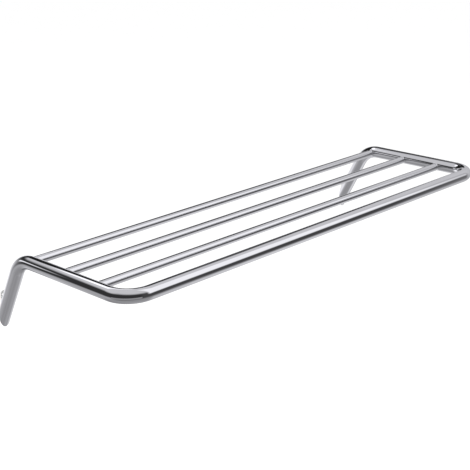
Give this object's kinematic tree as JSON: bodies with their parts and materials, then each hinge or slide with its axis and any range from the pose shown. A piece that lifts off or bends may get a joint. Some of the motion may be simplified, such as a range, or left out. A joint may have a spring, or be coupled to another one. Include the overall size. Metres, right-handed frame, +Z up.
{
  "type": "towel rack",
  "caption": "Wall-mounted towel rack: one bent tube makes the rail, arms and sloping legs, with cross rods between the arms.",
  "frame": {"origin": "on the wall's face, midway between the two legs, at the middle of their slanted feet", "axes": "+X to the right along the wall as seen from the room, +Y into the wall, +Z up"},
  "size_m": [0.616, 0.235, 0.101],
  "materials": {
    "polished_chrome": "mirror-polished chrome plate, with faint wiping marks and water spots",
    "white_plate": "white powder coat over a stamped steel strip, satin, with a faint orange peel",
    "cast_zinc": "turned zinc alloy with fine tool rings",
    "zinc_plated_screw": "bright zinc plate, slightly dull",
    "stainless_screw": "machined stainless, satin"
  },
  "bodies": {
    "root": {"frame_tube": "polished_chrome", "rod_front": "polished_chrome", "rod_middle": "polished_chrome", "rod_rear": "polished_chrome", "left_wall_plate": "white_plate", "left_spigot": "cast_zinc", "left_plate_screw": "zinc_plated_screw", "left_lock_screw": "stainless_screw", "right_wall_plate": "white_plate", "right_spigot": "cast_zinc", "right_plate_screw": "zinc_plated_screw", "right_lock_screw": "stainless_screw"}
  },
  "joints": []
}
